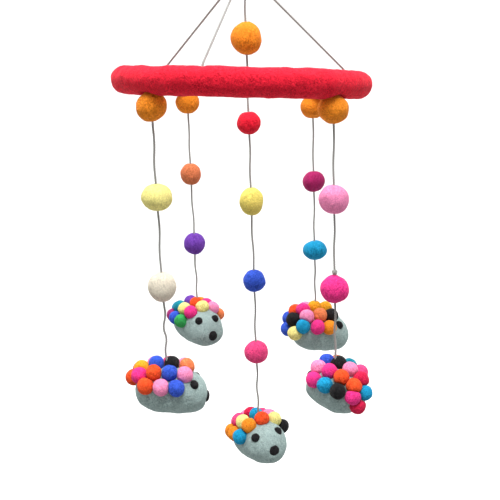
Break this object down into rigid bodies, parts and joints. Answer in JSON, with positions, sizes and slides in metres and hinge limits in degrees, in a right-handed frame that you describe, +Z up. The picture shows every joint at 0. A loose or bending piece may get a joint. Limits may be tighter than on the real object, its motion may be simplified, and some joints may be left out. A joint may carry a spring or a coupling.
{
  "type": "crib mobile",
  "caption": "Felt crib mobile: a padded ring hung from one loop on gathered cords, with strands of felt beads that each end in a felt hedgehog with a back of small balls.",
  "frame": {"origin": "where a hook carries the hanging loop: the underside of the top of the loop", "axes": "+Z up, away from the hanging toys; +X to the right and -Y towards the viewer when the ring's front hangs nearest"},
  "size_m": [0.2486, 0.255, 0.5488],
  "materials": {
    "cotton_cord": "matte",
    "felt_red": "matte",
    "felt_orange": "matte",
    "felt_pale_yellow": "matte",
    "felt_cream": "matte",
    "felt_terracotta": "matte",
    "felt_purple": "matte",
    "felt_plum": "matte",
    "felt_cyan": "matte",
    "felt_light_pink": "matte",
    "felt_hot_pink": "matte",
    "felt_yellow": "matte",
    "felt_blue": "matte",
    "felt_pink": "matte",
    "felt_grey_green": "matte",
    "felt_black": "matte",
    "felt_orange_red": "matte",
    "felt_yellow_orange": "matte",
    "felt_salmon": "matte",
    "felt_green": "matte",
    "felt_teal": "matte",
    "felt_magenta": "matte",
    "felt_crimson": "matte",
    "cane": "matte"
  },
  "bodies": {
    "loop": {"hanging_loop": "cotton_cord"},
    "loop_knot": {"loop_knot": "cotton_cord"},
    "neck": {"neck_cord": "cotton_cord"},
    "ring": {"gather_knot": "cotton_cord", "ring_felt": "felt_red", "ring_hoop": "cane", "suspension_cord_right": "cotton_cord", "suspension_cord_left": "cotton_cord", "suspension_cord_front": "cotton_cord", "front_left_anchor": "cotton_cord", "back_left_anchor": "cotton_cord", "back_right_anchor": "cotton_cord", "front_right_anchor": "cotton_cord"},
    "centre_tie": {"centre_tie_knot": "cotton_cord"},
    "centre_strand": {"centre_strand_cord": "cotton_cord", "centre_strand_knots": "cotton_cord", "centre_bead_orange": "felt_orange", "centre_bead_red": "felt_red", "centre_bead_yellow": "felt_yellow", "centre_bead_blue": "felt_blue", "centre_bead_pink": "felt_pink"},
    "centre_hedgehog": {"centre_hedgehog_body": "felt_grey_green", "centre_hedgehog_back_balls": "felt_hot_pink", "centre_hedgehog_face": "felt_black"},
    "front_left_swing": {"front_left_swing_knot": "cotton_cord"},
    "front_left_strand": {"front_left_strand_cord": "cotton_cord", "front_left_strand_knots": "cotton_cord", "front_left_bead_orange": "felt_orange", "front_left_bead_pale_yellow": "felt_pale_yellow", "front_left_bead_cream": "felt_cream"},
    "front_left_hedgehog": {"front_left_hedgehog_body": "felt_grey_green", "front_left_hedgehog_back_balls": "felt_hot_pink", "front_left_hedgehog_face": "felt_black"},
    "back_left_swing": {"back_left_swing_knot": "cotton_cord"},
    "back_left_strand": {"back_left_strand_cord": "cotton_cord", "back_left_strand_knots": "cotton_cord", "back_left_bead_orange": "felt_orange", "back_left_bead_terracotta": "felt_terracotta", "back_left_bead_purple": "felt_purple"},
    "back_left_hedgehog": {"back_left_hedgehog_body": "felt_grey_green", "back_left_hedgehog_back_balls": "felt_hot_pink", "back_left_hedgehog_face": "felt_black"},
    "back_right_swing": {"back_right_swing_knot": "cotton_cord"},
    "back_right_strand": {"back_right_strand_cord": "cotton_cord", "back_right_strand_knots": "cotton_cord", "back_right_bead_orange": "felt_orange", "back_right_bead_plum": "felt_plum", "back_right_bead_cyan": "felt_cyan"},
    "back_right_hedgehog": {"back_right_hedgehog_body": "felt_grey_green", "back_right_hedgehog_back_balls": "felt_hot_pink", "back_right_hedgehog_face": "felt_black"},
    "front_right_swing": {"front_right_swing_knot": "cotton_cord"},
    "front_right_strand": {"front_right_strand_cord": "cotton_cord", "front_right_strand_knots": "cotton_cord", "front_right_bead_orange": "felt_orange", "front_right_bead_light_pink": "felt_light_pink", "front_right_bead_hot_pink": "felt_hot_pink"},
    "front_right_hedgehog": {"front_right_hedgehog_body": "felt_grey_green", "front_right_hedgehog_back_balls": "felt_hot_pink", "front_right_hedgehog_face": "felt_black"}
  },
  "joints": [
    {"name": "sway_side", "type": "hinge", "parent": "loop", "child": "loop_knot", "pos_m": [0, 0, -0.032], "axis": [0, 1, 0], "range_deg": [-8, 8]},
    {"name": "sway_front", "type": "hinge", "parent": "loop_knot", "child": "neck", "pos_m": [0, 0, -0.032], "axis": [1, 0, 0], "range_deg": [-8, 8]},
    {"name": "mobile_turn", "type": "hinge", "parent": "neck", "child": "ring", "pos_m": [0, 0, -0.045], "axis": [0, 0, 1], "continuous": true},
    {"name": "centre_swing_side", "type": "hinge", "parent": "ring", "child": "centre_tie", "pos_m": [0, 0, -0.0518], "axis": [0, 1, 0], "range_deg": [-4, 4]},
    {"name": "centre_swing_front", "type": "hinge", "parent": "centre_tie", "child": "centre_strand", "pos_m": [0, 0, -0.0518], "axis": [1, 0, 0], "range_deg": [-4, 4]},
    {"name": "centre_hedgehog_turn", "type": "hinge", "parent": "centre_strand", "child": "centre_hedgehog", "pos_m": [0, 0, -0.5215], "axis": [0, 0, 1], "continuous": true},
    {"name": "front_left_swing_out", "type": "hinge", "parent": "ring", "child": "front_left_swing", "pos_m": [-0.08449, -0.0784, -0.15255], "axis": [-0.7071, 0.7071, 0], "range_deg": [-4, 8]},
    {"name": "front_left_swing_along", "type": "hinge", "parent": "front_left_swing", "child": "front_left_strand", "pos_m": [-0.08449, -0.0784, -0.15255], "axis": [-0.7071, -0.7071, 0], "range_deg": [-6, 6]},
    {"name": "front_left_hedgehog_turn", "type": "hinge", "parent": "front_left_strand", "child": "front_left_hedgehog", "pos_m": [-0.08449, -0.0784, -0.428], "axis": [0, 0, 1], "continuous": true},
    {"name": "back_left_swing_out", "type": "hinge", "parent": "ring", "child": "back_left_swing", "pos_m": [-0.06632, 0.09473, -0.15471], "axis": [0.8387, 0.5446, 0], "range_deg": [-4, 8]},
    {"name": "back_left_swing_along", "type": "hinge", "parent": "back_left_swing", "child": "back_left_strand", "pos_m": [-0.06632, 0.09473, -0.15471], "axis": [-0.5446, 0.8387, 0], "range_deg": [-6, 6]},
    {"name": "back_left_hedgehog_turn", "type": "hinge", "parent": "back_left_strand", "child": "back_left_hedgehog", "pos_m": [-0.06632, 0.09473, -0.421], "axis": [0, 0, 1], "continuous": true},
    {"name": "back_right_swing_out", "type": "hinge", "parent": "ring", "child": "back_right_swing", "pos_m": [0.07016, 0.08338, -0.16386], "axis": [0.7373, -0.6756, 0], "range_deg": [-4, 8]},
    {"name": "back_right_swing_along", "type": "hinge", "parent": "back_right_swing", "child": "back_right_strand", "pos_m": [0.07016, 0.08338, -0.16386], "axis": [0.6756, 0.7373, 0], "range_deg": [-6, 6]},
    {"name": "back_right_hedgehog_turn", "type": "hinge", "parent": "back_right_strand", "child": "back_right_hedgehog", "pos_m": [0.07016, 0.08338, -0.4305], "axis": [0, 0, 1], "continuous": true},
    {"name": "front_right_swing_out", "type": "hinge", "parent": "ring", "child": "front_right_swing", "pos_m": [0.07369, -0.0784, -0.16024], "axis": [-0.7071, -0.7071, 0], "range_deg": [-4, 8]},
    {"name": "front_right_swing_along", "type": "hinge", "parent": "front_right_swing", "child": "front_right_strand", "pos_m": [0.07369, -0.0784, -0.16024], "axis": [0.7071, -0.7071, 0], "range_deg": [-6, 6]},
    {"name": "front_right_hedgehog_turn", "type": "hinge", "parent": "front_right_strand", "child": "front_right_hedgehog", "pos_m": [0.07369, -0.0784, -0.4325], "axis": [0, 0, 1], "continuous": true}
  ]
}
